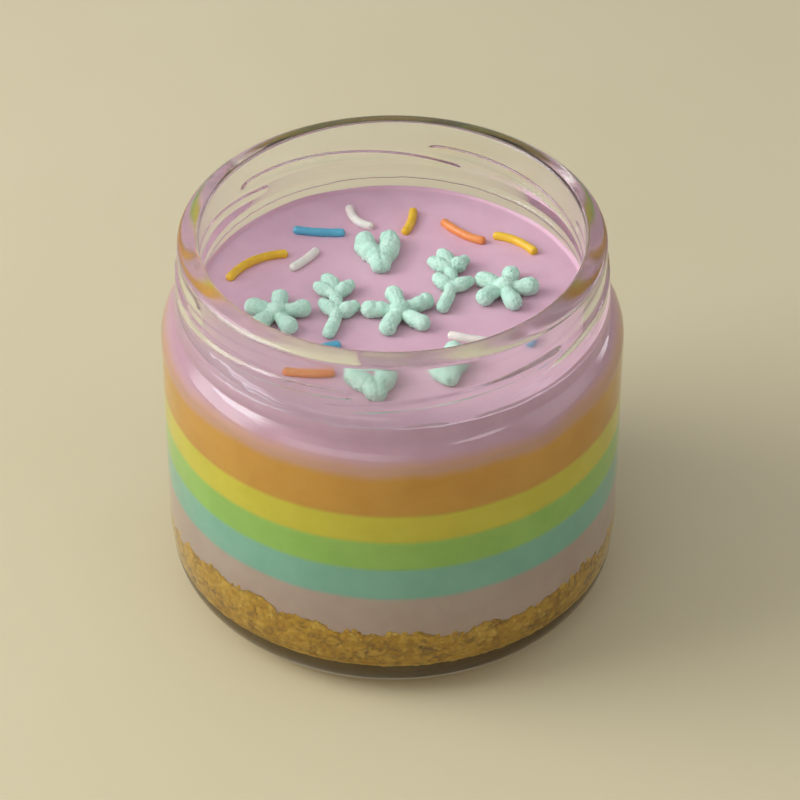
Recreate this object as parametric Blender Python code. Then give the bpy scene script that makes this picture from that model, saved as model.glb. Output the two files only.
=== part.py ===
"""No-bake rainbow cheesecake, set in layers in an open, round jar of clear glass.

A crumb base and six coloured cream layers fill a squat twist-off jar to the foot
of its neck. On the top layer lie sugar strands and piped icing: three hearts,
three flowers and two sprigs. Sizes are in millimetres and are scaled to metres
as each shape is made. +Z is up, and the origin is the middle of the underside.
"""
import math

import bmesh
import bpy
from mathutils import Vector, noise

MM = 0.001
GAP = 0.3

# The jar
JAR_HEIGHT = 68.7
BODY_RADIUS = 38.4
WALL = 2.4
FLOOR_HEIGHT = 4.6
PUSH_UP_HEIGHT = 0.9
PUSH_UP_RADIUS = 23.0
CONTACT_INNER_RADIUS = 26.0
CONTACT_OUTER_RADIUS = 30.0
HEEL_RADIUS = 8.0
INNER_HEEL_RADIUS = 6.0
WIDEST_RADIUS = 38.55
WIDEST_HEIGHT = 49.0
TURN_CURVE = 5.0
TURN_ANGLE = 20.0
SHOULDER_CURVE = 8.0
SHOULDER_ANGLE = 46.0
INNER_SHOULDER_CURVE = 6.6
INNER_SHOULDER_HEIGHT = 48.0
SHOULDER_TOP = 54.2
NOTCH_RADIUS = 35.9
NOTCH_HEIGHT = 56.05
NECK_FOOT_RADIUS = 36.1
NECK_FOOT_HEIGHT = 56.9
NECK_FOOT_TAPER = 3.3
NECK_RADIUS = 35.3
BORE_RADIUS = 31.7
BORE_FLARE = 10.0
LIP_HEIGHT = 1.4
LIP_CORNER = 0.6
JAR_SEGMENTS = 60

# The ramps moulded round the neck, which a lid's lugs slide under
RAMP_COUNT = 6
RAMP_SPAN = 62.5
RAMP_FIRST_END = 136.0
RAMP_HIGH = 62.0
RAMP_LOW = 58.9
RAMP_BEND = 1.6
RAMP_THICKNESS = 0.95
RAMP_SINK = 0.45
RAMP_STEPS = 8

# The filling
FILLING_SEGMENTS = 60
CRUMB_HEIGHT = 13.4
CRUMB_ROUGHNESS = 1.5
CRUMB_GRAIN = 4.2
HEAP_HEIGHT = 2.6
HEAP_ANGLE = -130.0
HEAP_WIDTH = 24.0
INNER_RINGS = (11.0, 21.0, 29.5)
CREAM_TOPS = (
    ("layer_mauve", 21.2),
    ("layer_blue", 27.5),
    ("layer_green", 33.3),
    ("layer_yellow", 38.8),
    ("layer_orange", 48.0),
)
TOP_HEIGHT = 54.4
MENISCUS_WIDTH = 1.1
MENISCUS_HEIGHT = 0.8

# Sugar strands: each is the start, the middle and the end of its centre line
STRAND_RADIUS = 0.75
STRAND_SINK = 0.3
STRAND_STEPS = 4
STRANDS = (
    ((-27.4, 5.6), (-23.5, 10.8), (-17.6, 12.9)),
    ((-16.9, 19.8), (-12.5, 19.0), (-8.1, 18.9)),
    ((-7.5, 26.7), (-6.2, 22.5), (-3.3, 20.7)),
    ((-17.1, 8.6), (-14.7, 11.1), (-12.7, 14.0)),
    ((1.9, 18.8), (3.1, 21.9), (3.5, 25.7)),
    ((8.4, 22.4), (11.9, 18.5), (15.6, 16.5)),
    ((17.0, 18.1), (21.0, 16.5), (24.1, 13.1)),
    ((9.1, -9.5), (12.5, -10.7), (15.9, -11.4)),
    ((-8.4, -12.3), (-10.8, -12.9), (-12.9, -14.3)),
    ((-17.2, -17.8), (-13.2, -18.3), (-9.0, -18.1)),
    ((21.9, -7.2), (22.3, -9.1), (21.8, -11.0)),
)

# Piped icing
ROPE_RADIUS = 1.45
ROPE_SINK = 0.35
ROPE_LUMPS = 0.09
ROPE_RISE = 0.08
HEARTS = (
    ("icing_heart_top", (-1.9, 8.7), (9.0, 9.0), 21.0, 96.0),
    ("icing_heart_left", (-2.4, -24.3), (7.2, 8.4), 28.0, 100.0),
    ("icing_heart_right", (8.9, -20.5), (7.2, 4.6), 24.0, 98.0),
)
PETAL_COUNT = 5
FLOWERS = (
    ("icing_flower_left", (-19.1, -4.5), 5.6, 80.0),
    ("icing_flower_middle", (1.2, -4.1), 6.4, 98.0),
    ("icing_flower_right", (18.6, 2.3), 5.5, 70.0),
)
SPRIG_LENGTH = 15.0
SPRIG_CURL = 46.0
LEAF_SPREAD = 46.0
LEAF_REACH = 3.6
SPRIGS = (
    ("icing_sprig_left", (-10.4, -9.7), 92.0),
    ("icing_sprig_right", (8.3, -2.7), 90.0),
)

CLEAR_GLASS = (0.91, 0.95, 0.93)
BISCUIT = (0.55, 0.33, 0.10)
CREAMS = {
    "layer_mauve": (0.62, 0.47, 0.48),
    "layer_blue": (0.32, 0.60, 0.55),
    "layer_green": (0.38, 0.62, 0.30),
    "layer_yellow": (0.74, 0.66, 0.20),
    "layer_orange": (0.72, 0.41, 0.15),
    "layer_pink": (0.70, 0.40, 0.50),
}
MINT = (0.47, 0.76, 0.58)


def clear_scene():
    """Start from an empty scene."""
    for item in list(bpy.data.objects):
        bpy.data.objects.remove(item)


def finish(name, colour, roughness, transmission=0.0):
    """A plain finish for one kind of piece."""
    material = bpy.data.materials.new(name)
    material.use_nodes = True
    shader = material.node_tree.nodes["Principled BSDF"]
    shader.inputs["Base Color"].default_value = (*colour, 1.0)
    shader.inputs["Roughness"].default_value = roughness
    shader.inputs["Metallic"].default_value = 0.0
    shader.inputs["Transmission Weight"].default_value = transmission
    return material


def place(name, shape, material):
    """Put a closed bmesh, drawn in millimetres, into the scene as one named piece."""
    bmesh.ops.remove_doubles(shape, verts=shape.verts, dist=1e-5)
    bmesh.ops.recalc_face_normals(shape, faces=shape.faces)
    bmesh.ops.scale(shape, vec=(MM, MM, MM), verts=shape.verts)
    mesh = bpy.data.meshes.new(name)
    shape.to_mesh(mesh)
    shape.free()
    mesh.materials.append(material)
    mesh.shade_smooth()
    mesh.set_sharp_from_angle(angle=math.radians(40.0))
    piece = bpy.data.objects.new(name, mesh)
    bpy.context.scene.collection.objects.link(piece)
    return piece


def evaluated_mesh(piece):
    """The mesh that a piece shows with its modifiers, or its curve's bevel, applied."""
    depsgraph = bpy.context.evaluated_depsgraph_get()
    return bpy.data.meshes.new_from_object(piece.evaluated_get(depsgraph))


def fuse(piece, extras):
    """Join other closed shapes to a piece by one union, and remove them."""
    group = bpy.data.collections.new("extras")
    for extra in extras:
        group.objects.link(extra)
    union = piece.modifiers.new("Union", "BOOLEAN")
    union.operation = "UNION"
    union.operand_type = "COLLECTION"
    union.collection = group
    union.solver = "EXACT"
    joined = evaluated_mesh(piece)
    piece.modifiers.clear()
    piece.data = joined
    for extra in extras:
        bpy.data.objects.remove(extra)
    bpy.data.collections.remove(group)
    joined.shade_smooth()
    joined.set_sharp_from_angle(angle=math.radians(40.0))
    return piece


def arc(centre, radius, start, end, steps):
    """Points of a round stretch of an outline, from start to end in degrees."""
    points = []
    for step in range(steps + 1):
        angle = math.radians(start + (end - start) * step / steps)
        x = centre[0] + radius * math.cos(angle)
        z = centre[1] + radius * math.sin(angle)
        points.append((x, z))
    return points


def turn(outline, segments):
    """Spin an outline of radius and height once round the upright axis."""
    shape = bmesh.new()
    corners = [shape.verts.new((radius, 0.0, height)) for radius, height in outline]
    sides = [shape.edges.new(pair) for pair in zip(corners, corners[1:])]
    bmesh.ops.spin(
        shape,
        geom=corners + sides,
        cent=(0.0, 0.0, 0.0),
        axis=(0.0, 0.0, 1.0),
        angle=math.tau,
        steps=segments,
        use_merge=True,
    )
    bmesh.ops.remove_doubles(shape, verts=shape.verts, dist=1e-5)
    return shape


# ---------------------------------------------------------------- the jar
def jar_outside():
    """The jar's outer outline, from the middle of the underside up over the lip."""
    turn_centre = (WIDEST_RADIUS - TURN_CURVE, WIDEST_HEIGHT)
    between = TURN_CURVE - SHOULDER_CURVE
    shoulder_centre = arc(turn_centre, between, TURN_ANGLE, TURN_ANGLE, 1)[0]
    crest = BORE_RADIUS + LIP_CORNER
    outline = [
        (0.0, PUSH_UP_HEIGHT),
        (PUSH_UP_RADIUS, PUSH_UP_HEIGHT),
        (CONTACT_INNER_RADIUS, 0.0),
    ]
    outline += arc((CONTACT_OUTER_RADIUS, HEEL_RADIUS), HEEL_RADIUS, -90.0, 0.0, 5)
    outline += [(BODY_RADIUS, 1.5 * HEEL_RADIUS)]
    outline += arc(turn_centre, TURN_CURVE, 0.0, TURN_ANGLE, 2)
    outline += arc(shoulder_centre, SHOULDER_CURVE, TURN_ANGLE, SHOULDER_ANGLE, 3)[1:]
    outline += [
        (NECK_FOOT_RADIUS, SHOULDER_TOP),
        (NOTCH_RADIUS, NOTCH_HEIGHT),
        (NECK_FOOT_RADIUS, NECK_FOOT_HEIGHT),
        (NECK_RADIUS, NECK_FOOT_HEIGHT + NECK_FOOT_TAPER),
    ]
    for reach, rise in arc((0.0, 0.0), 1.0, 0.0, 90.0, 4):
        radius = crest + (NECK_RADIUS - crest) * reach
        outline.append((radius, JAR_HEIGHT + LIP_HEIGHT * (rise - 1.0)))
    outline += arc((crest, JAR_HEIGHT - LIP_CORNER), LIP_CORNER, 90.0, 180.0, 2)[1:]
    return outline


def jar_inside(clearance=0.0):
    """The jar's inner outline, from the bore down to the floor, or one that clears it."""
    wall = BODY_RADIUS - WALL
    shoulder_centre = (wall - INNER_SHOULDER_CURVE, INNER_SHOULDER_HEIGHT)
    heel_centre = (wall - INNER_HEEL_RADIUS, FLOOR_HEIGHT + INNER_HEEL_RADIUS)
    between = INNER_SHOULDER_CURVE + BORE_FLARE
    flare_reach = BORE_RADIUS + BORE_FLARE
    lean = math.acos((flare_reach - shoulder_centre[0]) / between)
    flare_centre = (flare_reach, INNER_SHOULDER_HEIGHT + between * math.sin(lean))
    meeting = math.degrees(lean)
    outline = arc(flare_centre, BORE_FLARE + clearance, 180.0, 180.0 + meeting, 3)
    outline += arc(shoulder_centre, INNER_SHOULDER_CURVE - clearance, meeting, 0.0, 4)[1:]
    outline += arc(heel_centre, INNER_HEEL_RADIUS - clearance, 0.0, -90.0, 4)
    return outline


def ramp(index, material):
    """One ramp of the neck, high at its first end and falling ever faster to its last."""
    first_end = RAMP_FIRST_END + index * 360.0 / RAMP_COUNT
    route = []
    for step in range(RAMP_STEPS + 1):
        part = step / RAMP_STEPS
        angle = math.radians(first_end - part * RAMP_SPAN)
        height = RAMP_HIGH - (RAMP_HIGH - RAMP_LOW) * part**RAMP_BEND
        x = (NECK_RADIUS - RAMP_SINK) * math.cos(angle)
        y = (NECK_RADIUS - RAMP_SINK) * math.sin(angle)
        route.append((x, y, height))
    return rope("ramp", route, RAMP_THICKNESS, material, resolution=1)


def make_jar():
    """The open jar of clear glass, with the ramps that its lid would turn under."""
    glass = finish("clear_glass", CLEAR_GLASS, 0.03, transmission=1.0)
    outline = jar_outside() + jar_inside() + [(0.0, FLOOR_HEIGHT)]
    jar = place("jar_glass", turn(outline, JAR_SEGMENTS), glass)
    ramps = [ramp(index, glass) for index in range(RAMP_COUNT)]
    return fuse(jar, ramps)


# ------------------------------------------------------------ the filling
def side_between(low, high):
    """The filling's side from one height to another, GAP clear of the glass."""
    wall = list(reversed(jar_inside(GAP)))
    points = []
    for (radius_a, height_a), (radius_b, height_b) in zip(wall, wall[1:]):
        for level in (low, high):
            if height_a < level <= height_b:
                part = (level - height_a) / (height_b - height_a)
                points.append((radius_a + part * (radius_b - radius_a), level))
        if low < height_b < high:
            points.append((radius_b, height_b))
    return sorted(points, key=lambda point: point[1])


def crumb_top(x, y):
    """Height of the crumb's craggy top, heaped against the glass at one side."""
    off_centre = math.degrees(math.atan2(y, x)) - HEAP_ANGLE
    off_centre = (off_centre + 180.0) % 360.0 - 180.0
    outward = (math.hypot(x, y) / BODY_RADIUS) ** 3
    heap = HEAP_HEIGHT * outward * math.exp(-((off_centre / HEAP_WIDTH) ** 2))
    spot = Vector((x / CRUMB_GRAIN, y / CRUMB_GRAIN, 0.37))
    return CRUMB_HEIGHT + heap + CRUMB_ROUGHNESS * noise.noise(spot)


def facet(shape):
    """Split uneven four-sided faces along their shorter diagonal."""
    bmesh.ops.triangulate(shape, faces=shape.faces, quad_method="SHORT_EDGE")


def make_crumb():
    """The pressed biscuit crumb at the bottom, with a craggy top and a pitted side."""
    floor = FLOOR_HEIGHT + GAP
    outline = [(0.0, floor)]
    outline += side_between(floor, CRUMB_HEIGHT)
    edge = outline[-1][0]
    outline += [(radius, CRUMB_HEIGHT) for radius in reversed(INNER_RINGS)]
    outline += [(0.0, CRUMB_HEIGHT)]
    shape = turn(outline, FILLING_SEGMENTS)
    for corner in shape.verts:
        x, y, z = corner.co
        if z > CRUMB_HEIGHT - 0.01:
            corner.co.z = crumb_top(x, y)
        elif z > floor + 1.0:
            pit = max(0.0, noise.noise(Vector((x / 3.0, y / 3.0, z / 3.0))))
            corner.co.x = x * (1.0 - pit / edge)
            corner.co.y = y * (1.0 - pit / edge)
    facet(shape)
    return place("crumb_base", shape, finish("biscuit_crumb", BISCUIT, 0.85))


def make_creams():
    """The set cream layers under the top one; the lowest fills the crumb's crags."""
    bottom = CRUMB_HEIGHT
    for name, top in CREAM_TOPS:
        on_crumb = bottom == CRUMB_HEIGHT
        side = side_between(bottom, top)
        rings = [(radius, bottom) for radius in INNER_RINGS] if on_crumb else []
        shape = turn([(0.0, bottom)] + rings + side + [(0.0, top)], FILLING_SEGMENTS)
        if on_crumb:
            for corner in shape.verts:
                if corner.co.z < bottom + 0.01:
                    corner.co.z = crumb_top(corner.co.x, corner.co.y) + 1.5 * GAP
            facet(shape)
        place(name, shape, finish(name, CREAMS[name], 0.5))
        bottom = top + GAP


def strand(start, middle, end, material):
    """One sugar strand, bent through its middle and sunk a little into the cream."""
    height = TOP_HEIGHT + STRAND_RADIUS - STRAND_SINK
    points = []
    for step in range(STRAND_STEPS + 1):
        part = step / STRAND_STEPS
        weights = ((1 - part) * (1 - 2 * part), 4 * part * (1 - part), part * (2 * part - 1))
        x = sum(weight * knot[0] for weight, knot in zip(weights, (start, middle, end)))
        y = sum(weight * knot[1] for weight, knot in zip(weights, (start, middle, end)))
        points.append((x, y, height))
    return rope("strand", points, STRAND_RADIUS, material, resolution=0)


def make_top():
    """The top cream layer, drawn up the glass at its rim, with the sugar strands."""
    bottom = CREAM_TOPS[-1][1] + GAP
    side = side_between(bottom, TOP_HEIGHT + MENISCUS_HEIGHT)
    rim = side[-1][0]
    outline = [(0.0, bottom)] + side
    outline += [
        (rim - 0.3 * MENISCUS_WIDTH, TOP_HEIGHT + 0.45 * MENISCUS_HEIGHT),
        (rim - MENISCUS_WIDTH, TOP_HEIGHT),
        (0.0, TOP_HEIGHT),
    ]
    cream = finish("layer_pink", CREAMS["layer_pink"], 0.45)
    top = place("layer_pink", turn(outline, FILLING_SEGMENTS), cream)
    return fuse(top, [strand(*knots, cream) for knots in STRANDS])


# ------------------------------------------------------------- the icing
def rope(name, route, radius, material, swell=None, closed_ends=0.62, resolution=2):
    """A round rope along a route, with rounded ends and a thickness for each point."""
    swell = swell or [1.0] * len(route)
    points = [Vector(point) for point in route]
    start = points[0] + (points[0] - points[1]).normalized() * radius * swell[0] * closed_ends
    end = points[-1] + (points[-1] - points[-2]).normalized() * radius * swell[-1] * closed_ends
    points = [start] + points + [end]
    swell = [0.6 * swell[0]] + list(swell) + [0.6 * swell[-1]]
    curve = bpy.data.curves.new(name, "CURVE")
    curve.dimensions = "3D"
    curve.twist_mode = "Z_UP"
    curve.bevel_depth = radius
    curve.bevel_resolution = resolution
    curve.use_fill_caps = True
    spline = curve.splines.new("POLY")
    spline.points.add(len(points) - 1)
    for knot, point, thickness in zip(spline.points, points, swell):
        knot.co = (*point, 1.0)
        knot.radius = thickness
    guide = bpy.data.objects.new(name, curve)
    bpy.context.scene.collection.objects.link(guide)
    skin = evaluated_mesh(guide)
    bpy.data.objects.remove(guide)
    shape = bmesh.new()
    shape.from_mesh(skin)
    return place(name, shape, material)


def lumpy(route, profile):
    """Thickness of a piped rope at each point: its own profile, a little uneven."""
    swell = []
    for (x, y), thickness in zip(route, profile):
        swell.append(thickness * (1.0 + ROPE_LUMPS * noise.noise(Vector((x, y, 0.5)))))
    return swell


def stroke(route, profile, material, order=0):
    """One piped rope on the top layer, along a flat route; later ones lie higher."""
    height = TOP_HEIGHT + GAP + ROPE_RADIUS - ROPE_SINK + order * ROPE_RISE
    points = [(x, y, height) for x, y in route]
    return rope("stroke", points, ROPE_RADIUS, material, swell=lumpy(route, profile))


def settle(name, strokes):
    """Join strokes into one named ornament with a flat underside, GAP above the cream."""
    ornament = fuse(strokes[0], strokes[1:]) if len(strokes) > 1 else strokes[0]
    ornament.name = name
    slab_height = 4.0 * MM
    slab = bmesh.new()
    bmesh.ops.create_cube(slab, size=1.0)
    bmesh.ops.scale(slab, vec=(0.1, 0.1, slab_height), verts=slab.verts)
    lift = (TOP_HEIGHT + GAP) * MM - slab_height / 2
    bmesh.ops.translate(slab, vec=(0.0, 0.0, lift), verts=slab.verts)
    mesh = bpy.data.meshes.new("underside_cutter")
    slab.to_mesh(mesh)
    slab.free()
    cutter = bpy.data.objects.new("underside_cutter", mesh)
    bpy.context.scene.collection.objects.link(cutter)
    cut = ornament.modifiers.new("Underside", "BOOLEAN")
    cut.operation = "DIFFERENCE"
    cut.object = cutter
    cut.solver = "EXACT"
    settled = evaluated_mesh(ornament)
    ornament.modifiers.clear()
    ornament.data = settled
    bpy.data.objects.remove(cutter)
    settled.shade_smooth()
    settled.set_sharp_from_angle(angle=math.radians(50.0))
    return ornament


def ahead(start, heading, distance):
    """The point at a distance from start in the direction heading, in degrees."""
    angle = math.radians(heading)
    x = start[0] + distance * math.cos(angle)
    y = start[1] + distance * math.sin(angle)
    return (x, y)


def make_heart(name, tip, sizes, spread, heading, material):
    """A heart of two fat strokes that meet at its tip, the right one first."""
    sides = []
    for order, (lean, size) in enumerate(zip((-1.0, 1.0), sizes)):
        route = [
            ahead(tip, heading + 90.0 * lean, 0.04 * size),
            ahead(tip, heading + 0.76 * spread * lean, 0.24 * size),
            ahead(tip, heading + spread * lean, 0.46 * size),
            ahead(tip, heading + spread * lean, 0.66 * size),
            ahead(tip, heading + 0.76 * spread * lean, 0.84 * size),
        ]
        profile = (1.0, 1.15, 1.28, 1.36, 1.22)
        sides.append(stroke(route, profile, material, order))
    return settle(name, sides)


def make_flower(name, centre, reach, heading, material):
    """A flower of short petals round a raised dot."""
    petals = []
    for index in range(PETAL_COUNT):
        direction = heading + index * 360.0 / PETAL_COUNT
        route = [
            ahead(centre, direction, 0.18 * reach),
            ahead(centre, direction, 0.50 * reach),
            ahead(centre, direction + 4.0, 0.77 * reach),
        ]
        petals.append(stroke(route, (0.75, 1.0, 1.1), material, index))
    dot = bmesh.new()
    bmesh.ops.create_icosphere(dot, subdivisions=1, radius=1.25 * ROPE_RADIUS)
    lift = TOP_HEIGHT + GAP + 1.2 * ROPE_RADIUS
    bmesh.ops.translate(dot, vec=(centre[0], centre[1], lift), verts=dot.verts)
    petals.append(place("dot", dot, material))
    return settle(name, petals)


def make_sprig(name, start, heading, material):
    """A curling stem with leaves in pairs and one at its end."""
    steps = 9
    route = [start]
    headings = [heading]
    for step in range(steps):
        turned = heading + SPRIG_CURL * (step + 0.5) / steps - SPRIG_CURL / 2
        route.append(ahead(route[-1], turned, SPRIG_LENGTH / steps))
        headings.append(turned)
    profile = [0.8] * (steps - 2) + [0.95, 1.1, 0.85]
    parts = [stroke(route, profile, material)]
    for step in (3, 6):
        for lean in (-1.0, 1.0):
            direction = headings[step] + LEAF_SPREAD * lean
            leaf = [
                ahead(route[step], direction, part * LEAF_REACH)
                for part in (0.2, 0.6, 1.0)
            ]
            parts.append(stroke(leaf, (0.7, 1.0, 0.75), material, len(parts)))
    return settle(name, parts)


def make_icing():
    """All the piped ornaments."""
    mint = finish("mint_icing", MINT, 0.7)
    for name, tip, sizes, spread, heading in HEARTS:
        make_heart(name, tip, sizes, spread, heading, mint)
    for name, centre, reach, heading in FLOWERS:
        make_flower(name, centre, reach, heading, mint)
    for name, start, heading in SPRIGS:
        make_sprig(name, start, heading, mint)


clear_scene()
make_jar()
make_crumb()
make_creams()
make_top()
make_icing()
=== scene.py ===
"""Rainbow cheesecake set in layers in an open, round jar of clear glass: its looks.

Every CAD node is replaced by a fine piece of the same form: the moulded jar, the
crumb with its loose grains, six set creams, sugar strands and piped icing. Shapes
are drawn in millimetres and scaled to metres as they are placed. +Z is up, and -Y
is the side nearest the camera.
"""

import math
import random

import bmesh
import bpy
from mathutils import Matrix, Vector, noise


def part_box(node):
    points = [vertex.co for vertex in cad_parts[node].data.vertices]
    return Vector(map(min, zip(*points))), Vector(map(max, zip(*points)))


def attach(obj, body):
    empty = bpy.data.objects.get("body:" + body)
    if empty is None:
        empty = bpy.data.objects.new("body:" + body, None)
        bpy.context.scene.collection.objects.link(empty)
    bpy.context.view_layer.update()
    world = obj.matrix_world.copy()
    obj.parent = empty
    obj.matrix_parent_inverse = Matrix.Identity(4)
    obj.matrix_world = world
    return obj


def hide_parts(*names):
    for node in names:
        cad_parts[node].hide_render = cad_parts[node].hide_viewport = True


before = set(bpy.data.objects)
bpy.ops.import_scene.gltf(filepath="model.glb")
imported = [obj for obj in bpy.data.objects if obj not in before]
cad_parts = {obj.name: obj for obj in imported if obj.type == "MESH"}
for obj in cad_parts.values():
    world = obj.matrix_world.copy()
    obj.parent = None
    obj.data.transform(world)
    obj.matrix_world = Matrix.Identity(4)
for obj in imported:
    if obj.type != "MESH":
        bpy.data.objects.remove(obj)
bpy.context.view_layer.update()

MM = 0.001


def top_of(node):
    """The highest point of a CAD node, in millimetres."""
    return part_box(node)[1].z / MM


def foot_of(node):
    """The lowest point of a CAD node, in millimetres."""
    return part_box(node)[0].z / MM


# The jar
JAR_HEIGHT = 68.7
BODY_RADIUS = 38.4
WALL = 2.4
FLOOR_HEIGHT = 4.6
PUSH_UP_HEIGHT = 0.9
PUSH_UP_RADIUS = 23.0
CONTACT_INNER_RADIUS = 26.0
CONTACT_OUTER_RADIUS = 30.0
HEEL_RADIUS = 8.0
INNER_HEEL_RADIUS = 6.0
WIDEST_RADIUS = 38.55
WIDEST_HEIGHT = 49.0
TURN_CURVE = 5.0
TURN_ANGLE = 20.0
SHOULDER_CURVE = 8.0
SHOULDER_ANGLE = 46.0
SHOULDER_FILLET = 0.6
INNER_SHOULDER_CURVE = 6.6
INNER_SHOULDER_HEIGHT = 48.0
NOTCH_RADIUS = 35.92
NOTCH_HEIGHT = 56.05
NOTCH_WAVE = 0.16
NECK_FOOT_RADIUS = 36.1
NECK_FOOT_HEIGHT = 56.9
NECK_FOOT_TAPER = 3.3
NECK_RADIUS = 35.3
BORE_RADIUS = 31.7
BORE_FLARE = 10.0
LIP_HEIGHT = 1.4
LIP_CORNER = 0.6
JAR_SEGMENTS = 320
NECK_STEP = 0.15
WAVE_LENGTH = 13.0
INNER_WAVE = 0.07
OUTER_WAVE = 0.025
STILL_RISE = 4.0
HANDLING_ROUGHNESS = 0.035
LIP_DEPTH = 6.0
LIP_ROUGHNESS = 0.16

# The ramps moulded round the neck
RAMP_COUNT = 6
RAMP_SPAN = 62.5
RAMP_FIRST_END = 136.0
RAMP_HIGH = 62.0
RAMP_LOW = 58.9
RAMP_BEND = 1.6
RAMP_HALF_WIDTH = 1.25
RAMP_EDGE = 0.85
RAMP_TAPER = 2.5
RAMP_LIFT = 0.5

# The filling: the crumb, and the creams from the lowest to the top one
FILLING_SEGMENTS = 288
BITE = 0.06
CRUMB_SEGMENTS = 640
CRUMB_HEIGHT = 13.4
CRUMB_ROUGHNESS = 1.5
CRUMB_GRAIN = 4.2
CHUNK_SIZE = 1.7
CHUNK_STEP = 0.9
CHUNK_RELIEF = 0.5
SIDE_SWELL = 0.12
FINE_RELIEF = 0.06
FINE_SPACING = 0.45
ROUGH_RELIEF = 0.13
ROUGH_SPACING = 1.0
CRUMBLE = 0.4
CRUMBLE_SPACING = 0.8
CRACK_SPACING = 3.1
CRUMB_SEED = 11
# Height in mm over which the crumb's foot is painted lighter, as painted light
PAINTED_HEEL_LIGHT = 2.0
LOOSE_GRAINS = 330
GRAIN_SMALLEST = 0.3
GRAIN_LARGEST = 0.85
GRAIN_JAG = 0.75
HEAP_HEIGHT = 2.6
HEAP_ANGLE = -130.0
HEAP_WIDTH = 24.0
LAYERS = ("mauve", "blue", "green", "yellow", "orange", "pink")
LAYER_CORE = 20.0
CRAG_COVER = 3.5
SEAM_SOFTNESS = 0.45
BROAD_SEAM_SOFTNESS = 2.2
TOP_HEIGHT = foot_of("icing_heart_top") - 0.3
MENISCUS_WIDTH = 0.7
MENISCUS_HEIGHT = 0.55
MENISCUS_WAVE = 0.35
MENISCUS_STEPS = 8
SURFACE_RINGS = 60
SURFACE_SWELL = 0.10
SURFACE_RIPPLE = 0.02

# Sugar strands, by colour: each is the start, the middle and the end of its line
STRAND_RADIUS = 0.75
STRAND_SINK = 0.3
STRAND_CAP = 0.85
STRAND_INSET = 0.8
STRAND_UNEVEN = 0.06
STRANDS = {
    "yellow": (
        ((-27.4, 5.6), (-23.5, 10.8), (-17.6, 12.9)),
        ((1.9, 18.8), (3.1, 21.9), (3.5, 25.7)),
        ((17.0, 18.1), (21.0, 16.5), (24.1, 13.1)),
    ),
    "blue": (
        ((-16.9, 19.8), (-12.5, 19.0), (-8.1, 18.9)),
        ((-8.4, -12.3), (-10.8, -12.9), (-12.9, -14.3)),
        ((21.9, -7.2), (22.3, -9.1), (21.8, -11.0)),
    ),
    "white": (
        ((-7.5, 26.7), (-6.2, 22.5), (-3.3, 20.7)),
        ((-17.1, 8.6), (-14.7, 11.1), (-12.7, 14.0)),
        ((9.1, -9.5), (12.5, -10.7), (15.9, -11.4)),
    ),
    "orange": (
        ((8.4, 22.4), (11.9, 18.5), (15.6, 16.5)),
        ((-17.2, -17.8), (-13.2, -18.3), (-9.0, -18.1)),
    ),
}

# Piped icing. Each heart has its node, tip, stroke lengths (right, left), spread and
# heading; each flower its node, centre, reach and heading; each sprig its node, start
# and heading. Angles are in degrees.
ROPE_RADIUS = 1.38
ROPE_SINK = 0.35
ROPE_LUMPS = 0.13
HEARTS = (
    ("icing_heart_top", (-1.9, 8.7), (9.0, 9.0), 21.0, 96.0),
    ("icing_heart_left", (-2.4, -24.3), (7.2, 8.4), 28.0, 100.0),
    ("icing_heart_right", (8.9, -20.5), (7.2, 4.6), 24.0, 98.0),
)
PETAL_COUNT = 5
FLOWERS = (
    ("icing_flower_left", (-19.1, -4.5), 5.6, 80.0),
    ("icing_flower_middle", (1.2, -4.1), 6.4, 98.0),
    ("icing_flower_right", (18.6, 2.3), 5.5, 70.0),
)
SPRIG_LENGTH = 15.0
SPRIG_CURL = 46.0
SPRIG_STEPS = 9
LEAF_STEPS = (3, 6)
LEAF_SPREAD = 46.0
LEAF_REACH = 3.6
SPRIGS = (
    ("icing_sprig_left", (-10.4, -9.7), 92.0),
    ("icing_sprig_right", (8.3, -2.7), 90.0),
)
BEAD_SPACING = 0.28
VOXEL = 0.1
LUMP_DEPTH = 0.11
LUMP_SPACING = 1.2
CRAG_DEPTH = 0.085
CRAG_SPACING = 0.38
PIT_DEPTH = 0.16
PIT_SPACING = 0.8
ROPE_RISE = 0.08
DOT_RADIUS = 1.2 * ROPE_RADIUS

# The view
CAMERA_ELEVATION = 38.41
CAMERA_DISTANCE = 0.650
CAMERA_AIM = (0.00124, 0.0, 0.03361)
CAMERA_LENS = 172.87

# The room
TABLE_HALF_SIZE = 3.0
LIGHT_AIM = (0.0, 0.0, 0.035)
ROOM_COLOUR = (0.93, 0.95, 1.0, 1.0)
ROOM_STRENGTH = 0.42


# ----------------------------------------------------------------- placing
def place(name, shape, material, slot, *nodes, crease=None):
    """Put a bmesh drawn in millimetres into the scene, in place of CAD nodes."""
    bmesh.ops.recalc_face_normals(shape, faces=shape.faces)
    bmesh.ops.scale(shape, vec=(MM, MM, MM), verts=shape.verts)
    mesh = bpy.data.meshes.new(name)
    shape.to_mesh(mesh)
    shape.free()
    mesh.materials.append(material)
    mesh.shade_smooth()
    if crease:
        mesh.set_sharp_from_angle(angle=math.radians(crease))
    piece = bpy.data.objects.new(name, mesh)
    bpy.context.scene.collection.objects.link(piece)
    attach(piece, "root")
    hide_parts(*nodes)
    return piece


def arc(centre, radius, start, end, steps):
    """Points of a round stretch of an outline, from start to end in degrees."""
    points = []
    for step in range(steps + 1):
        angle = math.radians(start + (end - start) * step / steps)
        x = centre[0] + radius * math.cos(angle)
        z = centre[1] + radius * math.sin(angle)
        points.append((x, z))
    return points


def run(start, end, spacing):
    """Points between two corners of an outline, without the corners themselves."""
    steps = max(1, round(math.dist(start, end) / spacing))
    points = []
    for step in range(1, steps):
        part = step / steps
        points.append(
            (start[0] + part * (end[0] - start[0]), start[1] + part * (end[1] - start[1]))
        )
    return points


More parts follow.
